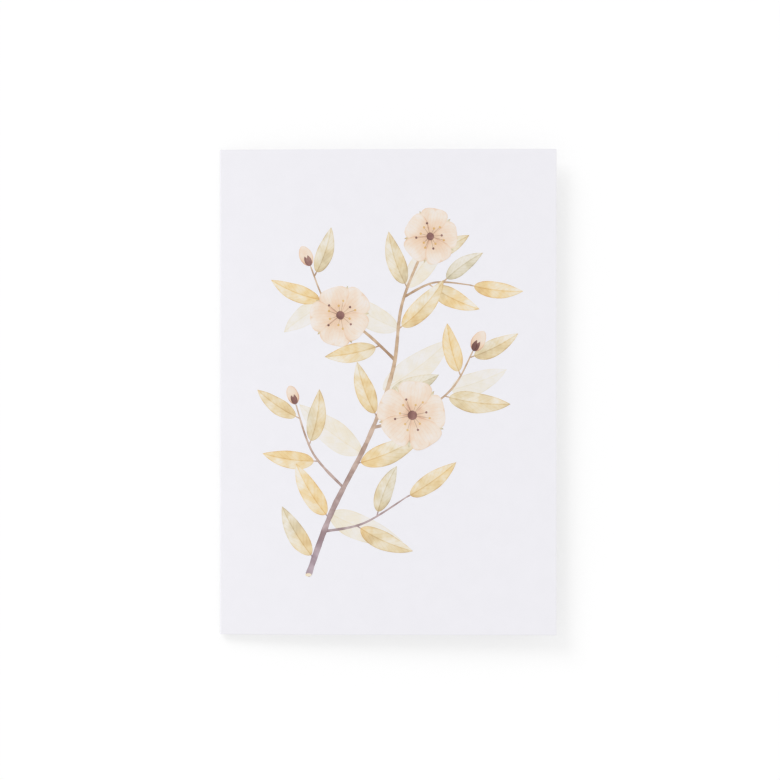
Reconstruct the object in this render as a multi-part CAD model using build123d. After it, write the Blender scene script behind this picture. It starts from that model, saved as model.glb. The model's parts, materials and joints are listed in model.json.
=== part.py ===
from build123d import *
import math
import os

# A folded greeting card, lying closed on its back panel, in millimetres.
# It is one sheet of stiff uncoated board, creased down the middle and folded once.
# The fold is on the left, at -X, and runs along Y. The card opens from its right edge.
# +Z points up out of the front panel, and +Y points to the top of the card.
# The origin is the middle of the card's outline, on the surface that it lies on.

# Size of the folded card, and the board that it is cut from
panel_width = 127.0
panel_height = 183.0
board_thickness = 0.38

# The creased fold, measured to the middle of the board.
# The crease leaves a nearly flat spine with a tight rounded shoulder on each side of it.
shoulder_radius = 0.36
spine_radius = 1.10
spine_angle = 46.0

# The rib that creasing raises along the inside of the spine
bead_radius = 0.15

# How the front panel lies. The fold springs it up at an angle, and its own weight bends it
# back down. The sag is the droop of the free edge of a panel that is held level at its fold.
front_angle = 6.1
weight_sag = 9.0

# The sprung front lifts the fold off the surface. This share of the panel's width away from
# the fold, the back touches down again, which is where the card's weight balances.
lift_reach_share = math.sqrt(2) - 1

# Sag of a strip that is held at one end, as shares of the droop of its free end
sag_shares = (0, 0, 1 / 3, 2 / 3, 1)


def elastic_line(start, run, heights):
    """Line of a strip that its own even weight bends, from five control heights along its run."""
    steps = len(heights) - 1
    return Bezier(*(start + Vector(run * step / steps, height) for step, height in enumerate(heights)))


def lifted_back(touchdown):
    """Middle line of the lifted part of the back panel, from where it touches down to the fold."""
    bend = weight_sag * math.sqrt(2) * lift_reach_share**3 / 3
    lift = 4 * bend - weight_sag * lift_reach_share**4 / 3
    return elastic_line(touchdown, -lift_reach_share * panel_width, (0, 0, 0, bend, lift))


def sprung_front(root, run):
    """Middle line of the front panel, from its root at the fold to its free edge."""
    rise = run * math.tan(math.radians(front_angle))
    heights = [rise * step / 4 - weight_sag * share for step, share in enumerate(sag_shares)]
    return elastic_line(root, run, heights)


def turn(line, radius, angle):
    """Arc that carries on from the end of a line, turning clockwise."""
    return JernArc(line @ 1, line % 1, radius, -angle)


def sheet_lines():
    """Middle line of the sheet in pieces, from the back's free edge round the fold to the front's.

    Both panels are equally long, because the sheet is creased down its middle.
    """
    half_board = board_thickness / 2
    back_tangent = lifted_back(Vector()) % 1
    back_angle = math.degrees(math.atan2(back_tangent.Y, -back_tangent.X))
    shoulder_angle = (180 - back_angle - front_angle - spine_angle) / 2
    start_sine = math.sin(math.radians(back_angle))
    spine_sine = math.sin(math.radians(back_angle + shoulder_angle))
    fold_reach = shoulder_radius * (spine_sine - start_sine) + spine_radius * (1 - spine_sine)
    root_x = fold_reach + half_board - panel_width / 2
    touchdown = Vector(root_x + lift_reach_share * panel_width, half_board)

    flat_back = Line(Vector(panel_width / 2, half_board), touchdown)
    raised_back = lifted_back(touchdown)
    lower_shoulder = turn(raised_back, shoulder_radius, shoulder_angle)
    spine = turn(lower_shoulder, spine_radius, spine_angle)
    upper_shoulder = turn(spine, shoulder_radius, shoulder_angle)
    panel_length = flat_back.length + raised_back.length
    straight_run = sprung_front(upper_shoulder @ 1, panel_length)
    front = sprung_front(upper_shoulder @ 1, panel_length**2 / straight_run.length)
    return flat_back, raised_back, lower_shoulder, spine, upper_shoulder, front


def bead(spine):
    """Rib along the inside of the spine, half sunk in the board."""
    inward = (spine % 0.5).rotate(Axis.Z, -90)
    return Pos(spine @ 0.5 + inward * board_thickness / 2) * Circle(bead_radius)


def card():
    """The folded sheet: its section across the fold, drawn out to the card's height."""
    lines = sheet_lines()
    section = trace(lines, board_thickness) + bead(lines[3])
    return extrude(Plane.XZ * section, panel_height / 2, both=True)


os.makedirs("parts", exist_ok=True)
export_step(card(), "parts/card.step")
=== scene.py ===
import json
import math
from collections import namedtuple

import bmesh
import bpy
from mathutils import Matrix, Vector, noise

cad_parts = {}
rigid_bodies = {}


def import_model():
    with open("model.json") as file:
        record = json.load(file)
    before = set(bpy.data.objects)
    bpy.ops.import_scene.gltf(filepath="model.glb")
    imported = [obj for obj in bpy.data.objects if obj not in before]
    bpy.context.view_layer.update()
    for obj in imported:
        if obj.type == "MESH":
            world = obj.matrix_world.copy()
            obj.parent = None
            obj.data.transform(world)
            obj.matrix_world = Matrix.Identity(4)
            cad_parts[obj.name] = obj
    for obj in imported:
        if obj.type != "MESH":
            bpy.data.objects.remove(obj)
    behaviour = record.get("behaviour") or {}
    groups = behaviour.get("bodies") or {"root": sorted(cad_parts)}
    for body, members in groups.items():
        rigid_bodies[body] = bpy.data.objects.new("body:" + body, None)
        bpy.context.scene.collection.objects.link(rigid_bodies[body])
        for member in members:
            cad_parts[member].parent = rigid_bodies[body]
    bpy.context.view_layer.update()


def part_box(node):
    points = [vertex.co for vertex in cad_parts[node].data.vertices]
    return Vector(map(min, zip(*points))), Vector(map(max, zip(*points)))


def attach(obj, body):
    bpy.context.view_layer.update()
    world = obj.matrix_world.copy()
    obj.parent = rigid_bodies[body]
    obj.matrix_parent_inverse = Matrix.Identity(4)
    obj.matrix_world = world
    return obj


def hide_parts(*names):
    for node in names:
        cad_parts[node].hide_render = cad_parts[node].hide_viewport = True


# A folded greeting card, seen from straight above, with a painted blossom branch on its front.
# Sizes are in metres, in the solid card's own frame: +Z up, +Y to its top, and the fold at -X.
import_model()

MM = 0.001

# The card's size comes from the solid, and the rest of its form from the same sizes as the
# solid's. The weight sag is the droop of the free edge of a panel that is held level at its
# fold, and the sag shares are those of a strip along its run.
card_low, card_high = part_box("card")
card_width = card_high.x - card_low.x
card_height = card_high.y - card_low.y
board = 0.38 * MM
half_board = board / 2
shoulder_radius = 0.36 * MM
spine_radius = 1.10 * MM
spine_angle = math.radians(46.0)
bead_radius = 0.15 * MM
front_angle = math.radians(6.1)
weight_sag = 9.0 * MM
lift_reach_share = math.sqrt(2) - 1
sag_shares = (0, 0, 1 / 3, 2 / 3, 1)

# Small departures of real board from the solid: broken cut edges, and a front that dips midway up
edge_break = 0.05 * MM
front_dip = 0.25 * MM

# Spacing of the sheet's mesh on the panels, its numbers of steps round the fold, and the angle
# between two faces from which the edge between them looks sharp
mesh_step = 2.0 * MM
shoulder_steps = 6
spine_steps = 18
sharp_angle = math.radians(30)

# Where the card lies in the photograph's frame, in pixels
photo_size = 780
card_left_px, card_right_px = 219, 557
card_top_px, card_bottom_px = 149, 635
lens_mm, sensor_mm = 135.0, 36.0

# Light: a soft lamp up and to the left that throws the shadow right and down, and an even sky.
# The floor's tone and glow are what the camera sees of it, and its bounce is what lights the card.
white = 1, 1, 1
lamp_direction = Vector((-1.0, 1.2, 1.0))
lamp_softness = math.radians(30)
lamp_level = 0.24
sky_level = 0.77
floor_size = 8.0
floor_tone = 0.38
floor_glow = 0.624
floor_bounce = 0.85

# Paper: its linear colours, its gloss and the sizes of its marks. A range is the stretch of a
# noise over which a mark comes up. Fibres lie three ways, and a bend pushes them off straight.
paper_colour = 0.860, 0.851, 0.893
core_colour = 0.80, 0.79, 0.80
paper_roughness, paper_specular = 0.88, 0.25
noise_roughness = 0.55
cloud_size, cloud_range, cloud_share = 7.0 * MM, (0.25, 0.75), 0.988
felt_size, felt_depth = 0.9 * MM, 0.016 * MM
tooth_size, tooth_depth = 0.12 * MM, 0.020 * MM
fibre_width, fibre_length, fibre_depth = 0.06 * MM, 1.1 * MM, 0.012 * MM
fibre_turns = math.radians(-28), math.radians(41), math.radians(97)
fibre_range = 0.58, 0.78
bend_size, bend_reach = 1.5 * MM, 1.4 * MM

# Cracks along the outside of the fold, and the plies that show on a cut edge with their colours
crack_width, crack_length, crack_depth = 0.10 * MM, 1.4 * MM, 0.015 * MM
crack_range = 0.52, 0.70
ply_height, ply_length, ply_depth = 0.05 * MM, 1.5 * MM, 0.01 * MM
ply_colours = [
    (0.3, (0.74, 0.73, 0.75)),
    (0.7, (0.87, 0.86, 0.89)),
]

# Colours of ink by the density of its wash, from bare paper to full strength. They are linear
# colours that the paper's is multiplied by.
gold_colours = [
    (0.0, (1.0, 1.0, 1.0)),
    (0.3, (1.0, 0.92, 0.72)),
    (0.6, (0.98, 0.76, 0.39)),
    (1.0, (0.80, 0.48, 0.16)),
]
sage_colours = [
    (0.0, (1.0, 1.0, 1.0)),
    (0.3, (0.95, 0.91, 0.77)),
    (0.6, (0.80, 0.73, 0.51)),
    (1.0, (0.49, 0.42, 0.26)),
]
peach_colours = [
    (0.0, (1.0, 1.0, 1.0)),
    (0.3, (1.0, 0.89, 0.74)),
    (0.6, (0.97, 0.73, 0.51)),
    (1.0, (0.72, 0.39, 0.26)),
]
violet_colours = [
    (0.0, (0.92, 0.86, 0.88)),
    (0.4, (0.60, 0.49, 0.52)),
    (1.0, (0.26, 0.17, 0.19)),
]
umber_colours = [
    (0.0, (0.96, 0.90, 0.78)),
    (0.4, (0.78, 0.58, 0.38)),
    (1.0, (0.38, 0.22, 0.12)),
]
maroon_colours = [
    (0.0, (0.75, 0.55, 0.47)),
    (0.5, (0.36, 0.19, 0.16)),
    (1.0, (0.12, 0.05, 0.045)),
]

# How a wash is laid: its density, and how much its root, its blooms and the pool along its rim
# add to that. The pool's width is in millimetres. A pale leaf's depth scales its shading.
Wash = namedtuple("Wash", "density root bloom pool pool_width")
leaf_wash = Wash(density=0.45, root=0.24, bloom=0.30, pool=0.28, pool_width=0.5)
petal_wash = Wash(density=0.27, root=0.50, bloom=0.20, pool=0.26, pool_width=0.55)
bark_wash = Wash(density=0.46, root=0.20, bloom=0.40, pool=0.2, pool_width=0.3)
maroon_wash = Wash(density=0.60, root=0.0, bloom=0.40, pool=0.2, pool_width=0.3)
ochre_wash = Wash(density=0.86, root=0.0, bloom=0.20, pool=0.2, pool_width=0.3)
cut_wood_wash = Wash(density=0.38, root=0.0, bloom=0.15, pool=0.2, pool_width=0.3)
pale_leaf_wash = leaf_wash._replace(density=0.20)
pale_leaf_depth = 0.45

# What all washes share: how fast the root's depth fades, their blooms and their grain, and the
# shares of its depth that the pool has between blooms and on them
root_power = 1.5
bloom_size, bloom_range = 4.5 * MM, (0.3, 0.7)
grain_size, grain_rise = 0.35 * MM, 0.07
pool_shares = 0.5, 1.2

# Veins: the share of the way to a vein, from midway between two, at which its line begins, and
# how much it adds to the density. The midrib of a leaf and its lighter side have ranges in
# millimetres from the leaf's middle.
leaf_vein_share, leaf_vein = 0.80, 0.14
petal_vein_share, petal_vein = 0.72, 0.10
midrib, midrib_range = 0.24, (0.10, 0.28)
lighter_side, side_range = -0.13, (-0.2, 0.2)

# How far the leaves' colour drifts between gold and sage from place to place
drift_size, drift_range, drift_reach = 16 * MM, (0.35, 0.65), 0.25

# The print: its unit of length is a hundredth of the card's height, and its places are
# counted in that unit from the middle of the front. Each wash of ink is a thin slab, rooted
# in the paper, and its level says how many steps it stands above the lowest wash.
unit = card_height / 100
ink_base = 0.005 * MM
ink_step = 0.004 * MM
ink_root = 0.020 * MM

# The mesh of a wash and of a brush stroke: the spacing of its rows, their least number and its
# number of columns. A wash is nowhere narrower than its least half width on each side.
wash_step, fewest_wash_steps, wash_columns = 0.9 * MM, 10, 12
stroke_step, fewest_stroke_steps, stroke_columns = 1.0 * MM, 8, 4
least_half_width = 0.04 * MM

# The painter's hand: how far an edge wavers as a share of the width, how many wavers there are
# in a metre of paper and along a wash, what sets a wash's other side apart, and how wide the
# blunt end of a stroke is
wash_waver_share, wash_wavers, wavers_along, side_shift = 0.10, 90, 3.1, 7
stroke_waver_share, stroke_wavers = 0.22, 300
blunt_share = 0.4

# Forms of a wash, by the powers of its root and its tip: 1 is pointed, a half is round, and
# less is blunter. Then the number and slant of its veins, and how narrow the notch of its tip is.
leaf_powers = 0.6, 0.9
petal_powers = 1.0, 0.36
bud_powers = 0.55, 0.6
oval_powers = 0.5, 0.5
vein_count, vein_slant = 9, 1.6
notch_power = 8

# The picture: a blossom branch. Its places and lengths are counted in the print's unit.
# A twig leaves its parent at a share of the parent's length, and runs smoothly through its
# places. Its width at its start and at its end follow.
Twig = namedtuple("Twig", "parent share places start_width end_width")
stem_places = (-16.5, -38), (-11.5, -24.5), (-4, -9.5), (1, 4.5), (3, 18.5), (8.5, 32)
twigs = {
    "main": Twig(None, 0, stem_places, 1.25, 0.42),
    "low_left": Twig("main", 0.265, ((-15.5, -12.5), (-19, -2.5)), 0.62, 0.26),
    "low_right": Twig("main", 0.145, ((-5, -27), (4, -21.5)), 0.58, 0.24),
    "middle_right": Twig("main", 0.43, ((5, -5), (13, 0.5), (17.5, 8.5)), 0.70, 0.26),
    "high_left": Twig("main", 0.63, ((-5, 12.5), (-12, 17), (-16, 26)), 0.66, 0.26),
    "high_right": Twig("main", 0.815, ((9.5, 22.5), (17, 22)), 0.54, 0.24),
}

# The cut across the stem's foot: its turn from the stem, and its place up the stem and its
# width as shares of the foot's width
cut_turn = math.radians(70)
cut_place_share, cut_width_share = 0.3, 0.55

# Heights up to which the bark is violet, and from which it is umber
violet_y, umber_y = -34, 2

# Leaves by twig: the share of the twig at which each grows, its angle to the twig in degrees,
# its length, width and bend, and how far it leans from gold towards sage
twig_leaves = {
    "main": (
        (0.07, 58, 11.5, 3.9, -0.14, 0.5),
        (0.18, 62, 12.0, 4.2, -0.16, 0.1),
        (0.33, -48, 14.0, 4.6, 0.18, 0.3),
        (0.46, 50, 11.0, 3.8, -0.16, 0.4),
        (0.53, -58, 10.5, 3.8, 0.12, 0.9),
        (0.72, -48, 12.5, 4.2, 0.20, 0.1),
        (0.84, 48, 11.0, 3.8, -0.18, 0.6),
        (0.93, -52, 9.5, 3.4, 0.16, 0.3),
    ),
    "low_left": (
        (0.40, 52, 10.5, 3.8, -0.15, 0.2),
        (0.58, -44, 10.5, 3.7, 0.20, 0.6),
        (0.82, 48, 9.5, 3.4, -0.16, 0.1),
    ),
    "low_right": (
        (0.42, -50, 11.5, 3.9, 0.18, 0.2),
        (0.64, 46, 10.0, 3.5, -0.16, 0.7),
        (0.97, -4, 11.5, 3.8, 0.12, 0.1),
    ),
    "middle_right": (
        (0.60, -56, 12.5, 4.3, 0.16, 0.3),
        (0.78, 52, 10.0, 3.6, -0.16, 0.1),
        (0.92, -46, 10.0, 3.5, 0.14, 0.6),
    ),
    "high_left": (
        (0.18, 62, 10.5, 3.8, -0.14, 0.2),
        (0.74, 52, 10.5, 3.7, -0.20, 0.1),
        (0.90, -48, 9.5, 3.4, 0.18, 0.5),
    ),
    "high_right": (
        (0.42, -54, 10.5, 3.8, 0.16, 0.2),
        (0.62, 46, 9.0, 3.2, -0.16, 0.8),
        (0.97, -8, 10.0, 3.5, 0.14, 0.1),
    ),
}
stalk_length, stalk_width = 1.0, 0.28

# Pale leaves behind the branch: place of the root, angle in degrees, length, width and bend
pale_leaves = (
    ((-5.5, -12.5), 150, 16, 5.6, -0.14),
    ((-1, 0.5), 28, 17, 5.8, 0.16),
    ((2, 13), 158, 14, 5.2, -0.12),
    ((4, 21.5), 60, 15, 5.0, -0.14),
    ((-12, -25), -28, 16, 5.4, 0.12),
    ((-13, 18), 205, 10, 4.2, 0.16),
    ((13, 0.5), 12, 12, 4.6, 0.14),
)
pale_leaf_tone = 0.6

# Blossoms: centre, length of a petal, and turn in degrees
blossoms = (
    ((5.0, -4.8), 7.0, 12),
    ((-9.8, 15.8), 6.2, 40),
    ((8.7, 32.0), 5.6, 5),
)
petal_count = 5

# How uneven the petals are: how fast that changes by petal and by blossom, and how far it shows
# in their turn, in radians, and in their length and notch, as shares of their length
petal_pace, blossom_pace = 2.3, 4.1
petal_turn_spread = 0.05
petal_spread_share = 0.05
notch_share, notch_spread_share = 0.08, 0.04

# Sepals between the petals, and the heart's width, as shares of a petal's length
sepal_share, sepal_spread_share, sepal_width_share, sepal_tone = 0.98, 0.03, 0.34, 0.7
heart_share = 0.28

# Stamens: how far every second one leans towards the next, where they start and how long they
# are as shares of a petal's length, how fast that length changes, and which have dark spots
stamen_count = 12
stamen_lean_share, stamen_start_share = 0.3, 0.10
stamen_share, stamen_spread_share, stamen_pace = 0.42, 0.10, 2.4
stamen_widths = 0.20 * MM, 0.14 * MM
spot_size, dark_spot_every = 0.84 * MM, 3

# Buds by the twig that each ends, with their length. Their width, and the length and width of
# their two sepals, are shares of that. Each sepal turns to its own side by an angle in radians,
# and its bend is a share of its own length.
buds = {"middle_right": 4.6, "high_left": 4.4, "low_left": 4.0}
bud_width_share = 0.62
bud_sepal_turn = 0.35
bud_sepal_share, bud_sepal_width_share, bud_sepal_bend_share = 0.5, 0.22, 0.2

# Levels of ink, from the lowest. No two washes that overlap in sight share one, so the leaves
# take turns on two.
pale_leaf_level, stalk_level, twig_level, stem_level, cut_level = range(5)
leaf_level, leaf_turns = cut_level + 1, 2
blossom_level = leaf_level + leaf_turns


# The sheet's form

Station = namedtuple("Station", "point heading share crease bead")


def along_bezier(controls, share):
    """Point and heading at a share of the curve with these control points."""
    points = list(controls)
    while len(points) > 2:
        points = [a.lerp(b, share) for a, b in zip(points, points[1:])]
    step = points[1] - points[0]
    return points[0].lerp(points[1], share), math.atan2(step.y, step.x)


def elastic_line(start, run, heights):
    """Control points of a strip that its own even weight bends."""
    steps = len(heights) - 1
    return [start + Vector((run * step / steps, height)) for step, height in enumerate(heights)]


def lifted_back(touchdown):
    """Control points of the lifted part of the back panel, from its touchdown to the fold."""
    bend = weight_sag * math.sqrt(2) * lift_reach_share**3 / 3
    lift = 4 * bend - weight_sag * lift_reach_share**4 / 3
    return elastic_line(touchdown, -lift_reach_share * card_width, (0, 0, 0, bend, lift))


def sprung_front(root, run):
    """Control points of the front panel, from its root at the fold to its free edge."""
    rise = run * math.tan(front_angle)
    heights = [rise * step / 4 - weight_sag * share for step, share in enumerate(sag_shares)]
    return elastic_line(root, run, heights)


def curve_length(controls, steps=200):
    """Length of the curve with these control points."""
    points = [along_bezier(controls, step / steps)[0] for step in range(steps + 1)]
    return sum((b - a).length for a, b in zip(points, points[1:]))


def left_of(heading):
    """Unit vector to the left of a heading, which is the sheet's outer side."""
    return Vector((-math.sin(heading), math.cos(heading)))


def arc(start, heading, radius, angle, steps):
    """Points and headings along a clockwise arc, without its start."""
    centre = start - left_of(heading) * radius
    headings = [heading - angle * step / steps for step in range(1, steps + 1)]
    return [(centre + left_of(turned) * radius, turned) for turned in headings]


def fold_sizes():
    """Angle of each shoulder of the fold, and where the back panel's bend meets the fold."""
    _, back_heading = along_bezier(lifted_back(Vector((0, 0))), 1)
    back_angle = math.pi - back_heading
    shoulder_angle = (math.pi - back_angle - front_angle - spine_angle) / 2
    spine_sine = math.sin(back_angle + shoulder_angle)
    reach = shoulder_radius * (spine_sine - math.sin(back_angle)) + spine_radius * (1 - spine_sine)
    return shoulder_angle, reach + half_board - card_width / 2


def bead_height(turned):
    """Height of the crease's inner rib, at an angle from the middle of the spine."""
    off_middle = turned * (spine_radius - half_board)
    return math.sqrt(max(bead_radius**2 - off_middle**2, 0))


def sheet_stations():
    """Stations along the sheet's middle line, from the back's free edge to the front's.

    Returns them with the control points of the front panel.
    """
    shoulder_angle, root_x = fold_sizes()
    touchdown = Vector((root_x + lift_reach_share * card_width, half_board))
    back_edge = Vector((card_width / 2, half_board))
    flat_length = (back_edge - touchdown).length
    lifted = lifted_back(touchdown)
    lifted_length = curve_length(lifted)

    flat_steps = round(flat_length / mesh_step)
    shares = [edge_break / flat_length] + [step / flat_steps for step in range(1, flat_steps)]
    line = [(back_edge, math.pi, 0)]
    line += [(back_edge.lerp(touchdown, share), math.pi, 0) for share in shares]
    lifted_steps = round(lifted_length / mesh_step)
    line += [(*along_bezier(lifted, step / lifted_steps), 0) for step in range(lifted_steps + 1)]

    fold = arc(line[-1][0], line[-1][1], shoulder_radius, shoulder_angle, shoulder_steps)
    spine_start = fold[-1][1]
    fold += arc(*fold[-1], spine_radius, spine_angle, spine_steps)
    fold += arc(*fold[-1], shoulder_radius, shoulder_angle, shoulder_steps)
    line += [(point, heading, 0) for point, heading in fold]

    root = line[-1][0]
    panel_length = flat_length + lifted_length
    straight_length = curve_length(sprung_front(root, panel_length))
    front = sprung_front(root, panel_length**2 / straight_length)
    front_steps = round(panel_length / mesh_step)
    shares = [step / front_steps for step in range(1, front_steps)] + [1 - edge_break / panel_length, 1]
    line += [(*along_bezier(front, share), share) for share in shares]

    spine_middle = spine_start - spine_angle / 2
    fold_middle = next(point for point, heading in fold if heading <= spine_middle)
    stations = []
    for point, heading, share in line:
        on_spine = abs(heading - spine_middle) < spine_angle / 2
        bead = bead_height(heading - spine_middle) if on_spine else 0
        crease = max(0.0, 1 - (point - fold_middle).length / (2 * spine_radius))
        stations.append(Station(point, heading, share, crease, bead))
    return stations, front


stations, front_controls = sheet_stations()


def front_fall(share, y):
    """How far the front panel dips below its own line, most at the free edge midway up."""
    return front_dip * share**2 * (1 - (2 * y / card_height) ** 2)


def front_face(x, y):
    """Height of the front panel's outer face."""
    root_x, edge_x = front_controls[0].x, front_controls[-1].x
    share = (x - root_x) / (edge_x - root_x)
    point, heading = along_bezier(front_controls, share)
    return point.y + half_board / math.cos(heading) - front_fall(share, y)


# Materials


def opaque(colour, share=1):
    """A linear colour at full alpha, dimmed to a share of itself."""
    return (*(channel * share for channel in colour), 1)


class Nodes:
    """A node tree under construction, whose node inputs take either a value or another node's output."""

    # Where the Mix node has its factor, its two colours and the colour that comes out
    mix_inputs, mix_output = (0, 6, 7), 2

    def __init__(self, owner):
        owner.use_nodes = True
        self.owner = owner
        self.tree = owner.node_tree
        self.tree.nodes.clear()

    def add(self, kind, inputs=(), **settings):
        node = self.tree.nodes.new(kind)
        for name, value in settings.items():
            setattr(node, name, value)
        for key, value in dict(inputs).items():
            if isinstance(value, bpy.types.NodeSocket):
                self.tree.links.new(value, node.inputs[key])
            else:
                node.inputs[key].default_value = value
        return node

    def math(self, operation, *values, clamp=False):
        inputs = enumerate(values)
        return self.add("ShaderNodeMath", inputs, operation=operation, use_clamp=clamp).outputs[0]

    def total(self, *values, operation="ADD"):
        """The values added up, or joined by another operation."""
        result = values[0]
        for value in values[1:]:
            result = self.math(operation, result, value)
        return result

    def scaled(self, value, low, high):
        """Turns 0 to 1 into low to high."""
        return self.math("MULTIPLY_ADD", value, high - low, low)

    def rise(self, value, low, high):
        """Smooth step from 0 at low to 1 at high."""
        inputs = {"Value": value, "From Min": low, "From Max": high}
        return self.add("ShaderNodeMapRange", inputs, interpolation_type="SMOOTHSTEP").outputs[0]

    def place(self):
        return self.add("ShaderNodeTexCoord").outputs["Object"]

    def bent_place(self, size, reach, seed):
        """Place on the object, pushed about by up to this reach, so that straight marks curve."""
        inputs = {"Vector": self.place(), "W": seed, "Scale": 1 / size, "Detail": 1.0}
        push = self.add("ShaderNodeTexNoise", inputs, noise_dimensions="4D").outputs["Color"]
        inputs = {0: push, 1: (reach, reach, reach), 2: self.place()}
        return self.add("ShaderNodeVectorMath", inputs, operation="MULTIPLY_ADD").outputs[0]

    def noise(self, size, detail=2.0, stretch=(1, 1, 1), turn=0.0, place=None):
        """Noise with features of this size, made longer along an axis and then turned about Z."""
        scale = tuple(size * part for part in stretch)
        inputs = {"Vector": place or self.place(), "Rotation": (0, 0, turn), "Scale": scale}
        place = self.add("ShaderNodeMapping", inputs, vector_type="TEXTURE").outputs[0]
        inputs = {"Vector": place, "Scale": 1.0, "Detail": detail, "Roughness": noise_roughness}
        return self.add("ShaderNodeTexNoise", inputs).outputs[0]

    def attribute(self, name):
        return self.add("ShaderNodeAttribute", attribute_name=name).outputs["Fac"]

    def ramp(self, value, stops):
        """Colour by value, from (value, colour) stops."""
        node = self.add("ShaderNodeValToRGB", {"Fac": value})
        elements = node.color_ramp.elements
        while len(elements) < len(stops):
            elements.new(1)
        for element, (position, colour) in zip(elements, stops):
            element.position = position
            element.color = opaque(colour)
        return node.outputs[0]

    def mix(self, factor, first, second, blend="MIX"):
        inputs = dict(zip(self.mix_inputs, (factor, first, second)))
        node = self.add("ShaderNodeMix", inputs, data_type="RGBA", blend_type=blend)
        return node.outputs[self.mix_output]

    def relief(self, height, depth, normal=None):
        inputs = {"Height": height, "Distance": depth, "Strength": 1.0}
        if normal:
            inputs["Normal"] = normal
        return self.add("ShaderNodeBump", inputs).outputs[0]

    def seen(self):
        """1 where the camera sees a surface, straight or by reflection, and 0 where it gives light."""
        path = self.add("ShaderNodeLightPath").outputs
        rays = path["Is Camera Ray"], path["Is Glossy Ray"], path["Is Transmission Ray"]
        return self.total(*rays, operation="MAXIMUM")

    def finish(self, colour, normal):
        """Ends a material of paper or ink."""
        inputs = {"Base Color": colour, "Roughness": paper_roughness, "Normal": normal}
        shader = self.add("ShaderNodeBsdfPrincipled", inputs)
        shader.inputs["Specular IOR Level"].default_value = paper_specular
        self.add("ShaderNodeOutputMaterial", {"Surface": shader.outputs[0]})
        return self.owner


def material_nodes(name):
    return Nodes(bpy.data.materials.new(name))


def paper_shade(nodes):
    """The board's colour, very slightly cloudy as its fibres lie."""
    cloud = nodes.rise(nodes.noise(cloud_size, detail=3.0), *cloud_range)
    return nodes.mix(cloud, opaque(paper_colour, cloud_share), opaque(paper_colour))


def paper_relief(nodes):
    """The board's felt marks, and on them its finer tooth, with fibres that lie every way."""
    normal = nodes.relief(nodes.noise(felt_size, detail=1.0), felt_depth)
    normal = nodes.relief(nodes.noise(tooth_size, detail=2.0), tooth_depth, normal)
    longer = fibre_length / fibre_width
    fibres = []
    for turn in fibre_turns:
        place = nodes.bent_place(bend_size, bend_reach, turn)
        fibres.append(nodes.noise(fibre_width, 1.0, (longer, 1, longer), turn, place))
    ridges = nodes.rise(nodes.total(*fibres, operation="MAXIMUM"), *fibre_range)
    return nodes.relief(ridges, fibre_depth, normal)


def paper_material():
    nodes = material_nodes("paper")
    crease = nodes.attribute("crease")
    cracks = nodes.noise(crack_width, stretch=(1, crack_length / crack_width, 1))
    cracked = nodes.math("MULTIPLY", nodes.rise(cracks, *crack_range), crease)
    normal = nodes.relief(cracked, crack_depth, paper_relief(nodes))
    return nodes.finish(nodes.mix(cracked, paper_shade(nodes), opaque(core_colour)), normal)


def core_material():
    """The cut edge, where the plies of the board show as faint lines along it."""
    nodes = material_nodes("paper_cut")
    longer = ply_length / ply_height
    plies = nodes.noise(ply_height, stretch=(longer, longer, 1))
    return nodes.finish(nodes.ramp(plies, ply_colours), nodes.relief(plies, ply_depth))


def ink(nodes, colour):
    """Ink on the paper, which multiplies the board's colour and lets its relief show."""
    return nodes.finish(nodes.mix(1.0, paper_shade(nodes), colour, "MULTIPLY"), paper_relief(nodes))


def wash_density(nodes, wash, depth=1):
    """Density of a brushed wash: deeper at the root, blooming, grainy, and pooled at its rim.

    Depth scales all that is added to its own density, but for the grain.
    """
    bloom = nodes.rise(nodes.noise(bloom_size, detail=2.0), *bloom_range)
    grain = nodes.noise(grain_size, detail=3.0)
    pool = nodes.math("SUBTRACT", 1, nodes.rise(nodes.attribute("rim"), 0.0, wash.pool_width))
    pool_rise = nodes.scaled(bloom, *(share * wash.pool * depth for share in pool_shares))
    root = nodes.math("SUBTRACT", 1, nodes.attribute("along"))
    half_bloom = wash.bloom * depth / 2
    return nodes.total(
        nodes.scaled(bloom, wash.density - half_bloom, wash.density + half_bloom),
        nodes.math("MULTIPLY", nodes.math("POWER", root, root_power), wash.root * depth),
        nodes.scaled(grain, -grain_rise, grain_rise),
        nodes.math("MULTIPLY", pool, pool_rise),
    )


def vein_lines(nodes, start_share):
    """1 along the side veins of a leaf or petal, and 0 between them."""
    phase = nodes.math("FRACT", nodes.attribute("vein"))
    ridge = nodes.math("ABSOLUTE", nodes.math("MULTIPLY_ADD", phase, 2, -1))
    return nodes.rise(ridge, start_share, 1.0)


def leaf_material(name, wash, depth):
    """A leaf's wash, from gold to sage by its tone. Depth scales its shading."""
    nodes = material_nodes(name)
    off_middle = nodes.math("ABSOLUTE", nodes.attribute("middle"))
    on_midrib = nodes.math("SUBTRACT", 1, nodes.rise(off_middle, *midrib_range))
    on_side = nodes.rise(nodes.attribute("middle"), *side_range)
    density = nodes.total(
        wash_density(nodes, wash, depth),
        nodes.math("MULTIPLY", vein_lines(nodes, leaf_vein_share), leaf_vein * depth),
        nodes.math("MULTIPLY", on_side, lighter_side * depth),
        nodes.math("MULTIPLY", on_midrib, midrib * depth),
    )
    drift = nodes.rise(nodes.noise(drift_size, detail=1.0), *drift_range)
    sage_share = nodes.total(nodes.attribute("tone"), nodes.scaled(drift, -drift_reach, drift_reach))
    sage_share = nodes.math("MAXIMUM", nodes.math("MINIMUM", sage_share, 1), 0)
    gold, sage = nodes.ramp(density, gold_colours), nodes.ramp(density, sage_colours)
    return ink(nodes, nodes.mix(sage_share, gold, sage))


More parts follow.
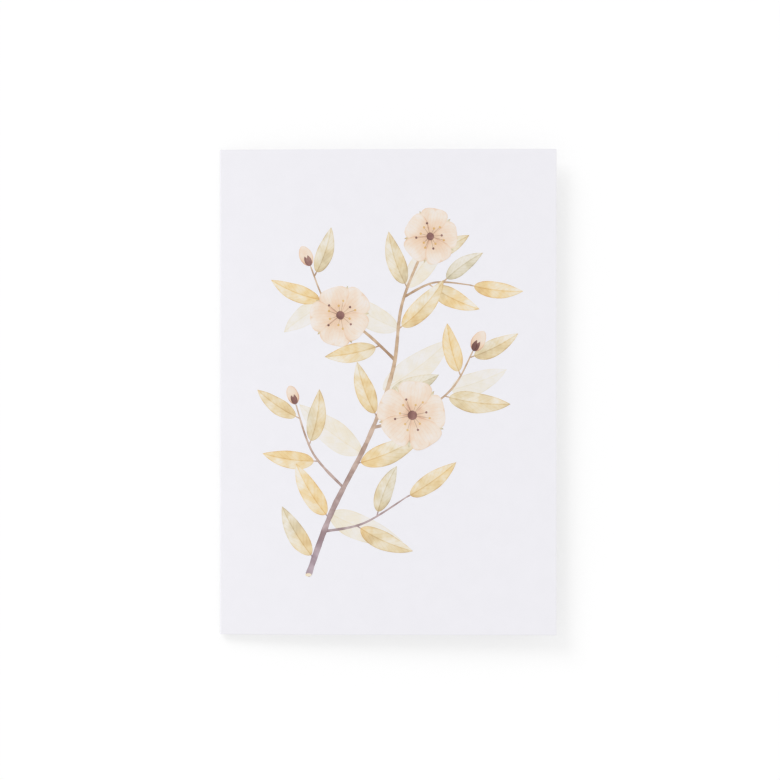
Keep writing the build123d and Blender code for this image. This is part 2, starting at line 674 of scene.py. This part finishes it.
def petal_material():
    nodes = material_nodes("petal_wash")
    veins = nodes.math("MULTIPLY", vein_lines(nodes, petal_vein_share), petal_vein)
    density = nodes.total(wash_density(nodes, petal_wash), veins)
    return ink(nodes, nodes.ramp(density, peach_colours))


def bark_material():
    """The branch's ink, from violet to umber by its tone."""
    nodes = material_nodes("bark_ink")
    density = wash_density(nodes, bark_wash)
    violet, umber = nodes.ramp(density, violet_colours), nodes.ramp(density, umber_colours)
    return ink(nodes, nodes.mix(nodes.attribute("tone"), violet, umber))


def plain_material(name, colours, wash):
    nodes = material_nodes(name)
    return ink(nodes, nodes.ramp(wash_density(nodes, wash), colours))


inks = {
    "pale_leaf": leaf_material("pale_leaf_wash", pale_leaf_wash, pale_leaf_depth),
    "leaf": leaf_material("leaf_wash", leaf_wash, 1),
    "petal": petal_material(),
    "bark": bark_material(),
    "maroon": plain_material("maroon_ink", maroon_colours, maroon_wash),
    "ochre": plain_material("ochre_ink", gold_colours, ochre_wash),
    "cut_wood": plain_material("cut_wood_ink", gold_colours, cut_wood_wash),
}


# Pieces


def add_piece(name, vertices, faces, piece_materials, attributes):
    """A mesh piece that rides with the card. Attributes are lists of one number per vertex."""
    mesh = bpy.data.meshes.new(name)
    mesh.from_pydata(vertices, [], faces)
    for key, numbers in attributes.items():
        mesh.attributes.new(key, "FLOAT", "POINT").data.foreach_set("value", numbers)
    shaped = bmesh.new()
    shaped.from_mesh(mesh)
    bmesh.ops.recalc_face_normals(shaped, faces=shaped.faces)
    shaped.to_mesh(mesh)
    shaped.free()
    mesh.shade_smooth()
    mesh.set_sharp_from_angle(angle=sharp_angle)
    for material in piece_materials:
        mesh.materials.append(material)
    piece = bpy.data.objects.new(name, mesh)
    bpy.context.scene.collection.objects.link(piece)
    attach(piece, "root")
    return piece


def sheet_row(y, at_cut):
    """One section of the sheet: its outer side from back to front, then its inner side.

    At a cut end its corners are drawn in by half an edge's break, so that no two vertices meet.
    """
    outer, inner = [], []
    last = len(stations) - 1
    for index, station in enumerate(stations):
        broken = edge_break if at_cut or index in (0, last) else 0
        pull = edge_break / 2 if at_cut else 0
        along = Vector((math.cos(station.heading), math.sin(station.heading)))
        point = station.point + along * (pull if index == 0 else -pull if index == last else 0)
        up = left_of(station.heading)
        fall = front_fall(station.share, y)
        for side, reach in ((outer, half_board - broken), (inner, broken - half_board - station.bead)):
            place = point + up * reach
            side.append((place.x, y, place.y - fall))
    return outer + inner[::-1]


def make_sheet():
    """The card itself: one sheet of board, folded once."""
    steps = round(card_height / mesh_step)
    middle_rows = [card_height * (step / steps - 0.5) for step in range(1, steps)]
    inside = card_height / 2 - edge_break
    rows = [sheet_row(-card_height / 2, True), sheet_row(-inside, False)]
    rows += [sheet_row(y, False) for y in middle_rows]
    rows += [sheet_row(inside, False), sheet_row(card_height / 2, True)]
    round_count = len(rows[0])
    side_count = round_count // 2
    faces, cut = [], []
    for row in range(len(rows) - 1):
        for index in range(round_count):
            after = (index + 1) % round_count
            start, above = row * round_count, (row + 1) * round_count
            faces.append((start + index, start + after, above + after, above + index))
            at_edge = index % side_count in (0, side_count - 2, side_count - 1)
            cut.append(at_edge or row in (0, len(rows) - 2))
    for start in (0, (len(rows) - 1) * round_count):
        for index in range(side_count - 1):
            inner = round_count - 1 - index
            faces.append((start + index, start + index + 1, start + inner - 1, start + inner))
            cut.append(True)
    crease = [station.crease for station in stations]
    piece = add_piece(
        "card_sheet",
        [vertex for row in rows for vertex in row],
        faces,
        [paper_material(), core_material()],
        {"crease": (crease + crease[::-1]) * len(rows)},
    )
    piece.data.polygons.foreach_set("material_index", [int(is_cut) for is_cut in cut])
    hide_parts("card")


Mark = namedtuple("Mark", "x y along middle rim vein tone")


class Print:
    """A piece of the print: thin closed slabs of ink, each from rows of marks on the front panel."""

    def __init__(self, name):
        self.name = name
        self.vertices, self.faces, self.marks, self.slots, self.ink_names = [], [], [], [], []

    def add(self, rows, level, ink_name):
        """Adds a wash of this ink at its level."""
        if ink_name not in self.ink_names:
            self.ink_names.append(ink_name)
        high, wide = len(rows), len(rows[0])
        top = len(self.vertices)
        below = high * wide
        marks = [mark for row in rows for mark in row]
        for height in (ink_base + level * ink_step, -ink_root):
            for mark in marks:
                self.vertices.append((mark.x, mark.y, front_face(mark.x, mark.y) + height))
            self.marks += marks
        first_face = len(self.faces)
        for row in range(high - 1):
            for column in range(wide - 1):
                corner = top + row * wide + column
                quad = (corner, corner + 1, corner + wide + 1, corner + wide)
                self.faces.append(quad)
                self.faces.append(tuple(index + below for index in quad[::-1]))
        rim = list(range(wide)) + [row * wide + wide - 1 for row in range(1, high)]
        rim += [(high - 1) * wide + column for column in range(wide - 2, -1, -1)]
        rim += [row * wide for row in range(high - 2, 0, -1)]
        for here, after in zip(rim, rim[1:] + rim[:1]):
            self.faces.append((top + here, top + below + here, top + below + after, top + after))
        self.slots += [self.ink_names.index(ink_name)] * (len(self.faces) - first_face)

    def finish(self):
        attributes = {key: [getattr(mark, key) for mark in self.marks] for key in Mark._fields[2:]}
        materials = [inks[name] for name in self.ink_names]
        piece = add_piece(self.name, self.vertices, self.faces, materials, attributes)
        piece.data.polygons.foreach_set("material_index", self.slots)


def towards(angle):
    return Vector((math.cos(angle), math.sin(angle)))


def lens_width(share, powers):
    """Width at a share of the length, as a share of the widest. Powers blunt the root and the tip."""
    root_power, tip_power = powers
    widest = root_power / (root_power + tip_power)
    return (share / widest) ** root_power * ((1 - share) / (1 - widest)) ** tip_power


def lens(root, angle, length, width, bend=0.0, powers=leaf_powers, fan=False, notch=0.0, tone=0.0):
    """Rows of marks for a leaf, petal, bud or dot, from its root along an angle.

    Bend curves it to its left, and a notch draws in the middle of its tip. Its veins leave its
    midrib, or fan out of its root.
    """
    forward = towards(angle)
    left = Vector((-forward.y, forward.x))
    steps = max(fewest_wash_steps, round(length / wash_step))
    rows = []
    for row in range(steps + 1):
        share = 0.5 - 0.5 * math.cos(math.pi * row / steps)
        middle = root + forward * length * share + left * length * bend * share**2
        slope = (forward + left * 2 * bend * share).normalized()
        across = Vector((-slope.y, slope.x))
        half = max(width / 2 * lens_width(share, powers), least_half_width)
        marks = []
        for column in range(wash_columns + 1):
            side = 2 * column / wash_columns - 1
            along = share * wavers_along + (side_shift if side < 0 else 0)
            hand = noise.noise(Vector((root.x * wash_wavers, root.y * wash_wavers, along)))
            half_here = half * (1 + wash_waver_share * hand)
            drawn_in = notch * length * share**notch_power * (1 - side**2) ** 2
            place = middle + across * side * half_here - forward * drawn_in
            slant = vein_slant * abs(side) * half_here / length
            vein = side * vein_count / 2 if fan else (share - slant) * vein_count
            rim = (1 - abs(side)) * half_here
            marks.append(Mark(place.x, place.y, share, side * half_here / MM, rim / MM, vein, tone))
        rows.append(marks)
    return rows


def oval(centre, angle, length, width):
    """Rows of marks for an oval spot, whose length lies along an angle."""
    return lens(centre - towards(angle) * length / 2, angle, length, width, powers=oval_powers)


def spline_point(points, share):
    """Point and heading on a smooth line through these points."""
    spans = len(points) - 1
    span = min(int(share * spans), spans - 1)
    local = share * spans - span
    before = points[max(span - 1, 0)]
    start, end = points[span], points[span + 1]
    after = points[min(span + 2, spans)]
    lead_in, lead_out = (end - before) / 6, (after - start) / 6
    return along_bezier([start, start + lead_in, end - lead_out, end], local)


def stroke(points, start_width, end_width):
    """Rows of marks for a brush stroke through these points, with blunt ends.

    Its tone rises from 0 at the height of violet bark to 1 at that of umber bark.
    """
    length = sum((b - a).length for a, b in zip(points, points[1:]))
    steps = max(fewest_stroke_steps, round(length / stroke_step))
    rows = []
    for row in range(steps + 1):
        share = row / steps
        middle, heading = spline_point(points, share)
        width = start_width + (end_width - start_width) * share
        hand = noise.noise(Vector((middle.x * stroke_wavers, middle.y * stroke_wavers, 0)))
        to_end = min(share, 1 - share) * length
        half = width / 2 * (1 + stroke_waver_share * hand) * min(1, blunt_share + to_end / width)
        tone = min(1, max(0, (middle.y / unit - violet_y) / (umber_y - violet_y)))
        marks = []
        for column in range(stroke_columns + 1):
            side = 2 * column / stroke_columns - 1
            place = middle + left_of(heading) * half * side
            rim = (1 - abs(side)) * half
            marks.append(Mark(place.x, place.y, share, side * half / MM, rim / MM, 0, tone))
        rows.append(marks)
    return rows


def paper_place(place):
    return Vector(place) * unit


def twig_line(name):
    """The points that a twig runs through, from its parent's line to its tip."""
    twig = twigs[name]
    line = [paper_place(place) for place in twig.places]
    if twig.parent:
        line.insert(0, spline_point(twig_line(twig.parent), twig.share)[0])
    return line


def make_branch():
    """The main stem, cut across at its foot, and under it the twigs that leave it."""
    branch = Print("print_branch")
    for name, twig in twigs.items():
        rows = stroke(twig_line(name), twig.start_width * unit, twig.end_width * unit)
        branch.add(rows, twig_level if twig.parent else stem_level, "bark")
    foot, heading = spline_point(twig_line("main"), 0)
    foot_width = twigs["main"].start_width * unit
    middle = foot + towards(heading) * cut_place_share * foot_width
    cut = oval(middle, heading - cut_turn, foot_width, cut_width_share * foot_width)
    branch.add(cut, cut_level, "cut_wood")
    branch.finish()


def make_pale_leaves():
    for number, (place, angle, length, width, bend) in enumerate(pale_leaves, start=1):
        leaf = Print(f"print_pale_leaf_{number}")
        root, angle = paper_place(place), math.radians(angle)
        rows = lens(root, angle, length * unit, width * unit, bend, tone=pale_leaf_tone)
        leaf.add(rows, pale_leaf_level, "pale_leaf")
        leaf.finish()


def make_leaves():
    """The leaves, each on a short stalk that comes out from under its twig."""
    number = 0
    for twig, leaves in twig_leaves.items():
        for share, turn, length, width, bend, tone in leaves:
            root, heading = spline_point(twig_line(twig), share)
            angle = heading + math.radians(turn)
            stalk = towards(angle) * stalk_length * unit
            line = [root, root + stalk / 2, root + stalk]
            leaf = Print(f"print_leaf_{number + 1}")
            leaf.add(stroke(line, stalk_width * unit, stalk_width * unit), stalk_level, "bark")
            rows = lens(root + stalk, angle, length * unit, width * unit, bend, tone=tone)
            leaf.add(rows, leaf_level + number % leaf_turns, "leaf")
            leaf.finish()
            number += 1


def add_stamens(blossom, centre, petal_length, turn, level):
    """Fine stamens from under a blossom's heart, of uneven length, each with a spot at its tip."""
    for number in range(stamen_count):
        lean = stamen_lean_share * (number % 2)
        forward = towards(turn + math.tau * (number + lean) / stamen_count)
        start = petal_length * stamen_start_share
        reach = petal_length * (stamen_share + stamen_spread_share * math.sin(number * stamen_pace))
        line = [centre + forward * place for place in (start, (start + reach) / 2, reach)]
        blossom.add(stroke(line, *stamen_widths), level, "bark")
        spot = oval(line[-1], 0, spot_size, spot_size)
        blossom.add(spot, level + 1, "ochre" if number % dark_spot_every else "maroon")


def make_blossoms():
    """The blossoms: five petals, with sepals that show between them, round a dark heart."""
    for number, (place, petal_length, turn) in enumerate(blossoms, start=1):
        centre, length, turn = paper_place(place), petal_length * unit, math.radians(turn)
        blossom = Print(f"print_blossom_{number}")
        for petal in range(petal_count):
            hand = math.sin(petal_pace * petal + blossom_pace * number)
            between = turn + math.tau * (petal + 0.5) / petal_count
            size = length * (sepal_share + sepal_spread_share * hand)
            rows = lens(centre, between, size, length * sepal_width_share, tone=sepal_tone)
            blossom.add(rows, blossom_level, "leaf")
            angle = turn + math.tau * petal / petal_count + petal_turn_spread * hand
            size = length * (1 + petal_spread_share * hand)
            notch = notch_share + notch_spread_share * hand
            rows = lens(centre, angle, size, length, powers=petal_powers, fan=True, notch=notch)
            blossom.add(rows, blossom_level + 1 + petal, "petal")
        level = blossom_level + 1 + petal_count
        add_stamens(blossom, centre, length, turn, level)
        heart = oval(centre, 0, length * heart_share, length * heart_share)
        blossom.add(heart, level + 2, "maroon")
        blossom.finish()


def make_buds():
    """A bud at the tip of each twig that has one, held by two dark sepals."""
    for number, (twig, bud_length) in enumerate(buds.items(), start=1):
        root, angle = spline_point(twig_line(twig), 1)
        length = bud_length * unit
        bud = Print(f"print_bud_{number}")
        rows = lens(root, angle, length, length * bud_width_share, powers=bud_powers, fan=True)
        bud.add(rows, blossom_level, "petal")
        size, width = length * bud_sepal_share, length * bud_sepal_width_share
        for level, side in enumerate((-1, 1), start=blossom_level + 1):
            turned = angle + side * bud_sepal_turn
            bud.add(lens(root, turned, size, width, -bud_sepal_bend_share * side), level, "maroon")
        bud.finish()


# The stage


def make_floor():
    """A plain pale floor that the camera sees as white, with the card's shadow on it."""
    half = floor_size / 2
    mesh = bpy.data.meshes.new("floor")
    corners = [(-half, -half, 0), (half, -half, 0), (half, half, 0), (-half, half, 0)]
    mesh.from_pydata(corners, [], [(0, 1, 2, 3)])
    floor = bpy.data.objects.new("floor", mesh)
    bpy.context.scene.collection.objects.link(floor)
    nodes = material_nodes("floor")
    matt = nodes.add("ShaderNodeBsdfDiffuse", {"Color": opaque(white, floor_tone)})
    glow = nodes.add("ShaderNodeEmission", {"Color": opaque(white), "Strength": floor_glow})
    lit = nodes.add("ShaderNodeAddShader", {0: matt.outputs[0], 1: glow.outputs[0]})
    bounce = nodes.add("ShaderNodeBsdfDiffuse", {"Color": opaque(white, floor_bounce)})
    shader = nodes.add("ShaderNodeMixShader", {0: nodes.seen(), 1: bounce.outputs[0], 2: lit.outputs[0]})
    nodes.add("ShaderNodeOutputMaterial", {"Surface": shader.outputs[0]})
    mesh.materials.append(nodes.owner)


def make_sky():
    """An even studio sky, which the camera sees as white."""
    world = bpy.data.worlds.new("studio")
    bpy.context.scene.world = world
    nodes = Nodes(world)
    strength = nodes.scaled(nodes.seen(), sky_level, 1)
    sky = nodes.add("ShaderNodeBackground", {"Color": opaque(white), "Strength": strength})
    nodes.add("ShaderNodeOutputWorld", {"Surface": sky.outputs[0]})


def make_lamp():
    """A soft key light, whose level is the share of the light that it gives a level surface."""
    lamp = bpy.data.lights.new("key", "SUN")
    lamp.angle = lamp_softness
    lamp.energy = lamp_level * math.pi / lamp_direction.normalized().z
    stand = bpy.data.objects.new("key", lamp)
    stand.rotation_euler = lamp_direction.to_track_quat("Z", "Y").to_euler()
    bpy.context.scene.collection.objects.link(stand)


def make_camera():
    """A long lens straight above, that frames the card as the photograph does."""
    across = card_width / (card_right_px - card_left_px)
    upright = card_height / (card_bottom_px - card_top_px)
    pixel = (across + upright) / 2
    field = photo_size * pixel
    lens_data = bpy.data.cameras.new("camera")
    lens_data.lens = lens_mm
    lens_data.sensor_width = sensor_mm
    camera = bpy.data.objects.new("camera", lens_data)
    camera.location = (
        (photo_size - card_left_px - card_right_px) / 2 * pixel,
        (card_top_px + card_bottom_px - photo_size) / 2 * pixel,
        card_high.z + field * lens_mm / sensor_mm,
    )
    bpy.context.scene.collection.objects.link(camera)
    bpy.context.scene.camera = camera


make_sheet()
make_pale_leaves()
make_branch()
make_leaves()
make_blossoms()
make_buds()
make_floor()
make_sky()
make_lamp()
make_camera()
bpy.context.scene.view_settings.view_transform = "Standard"
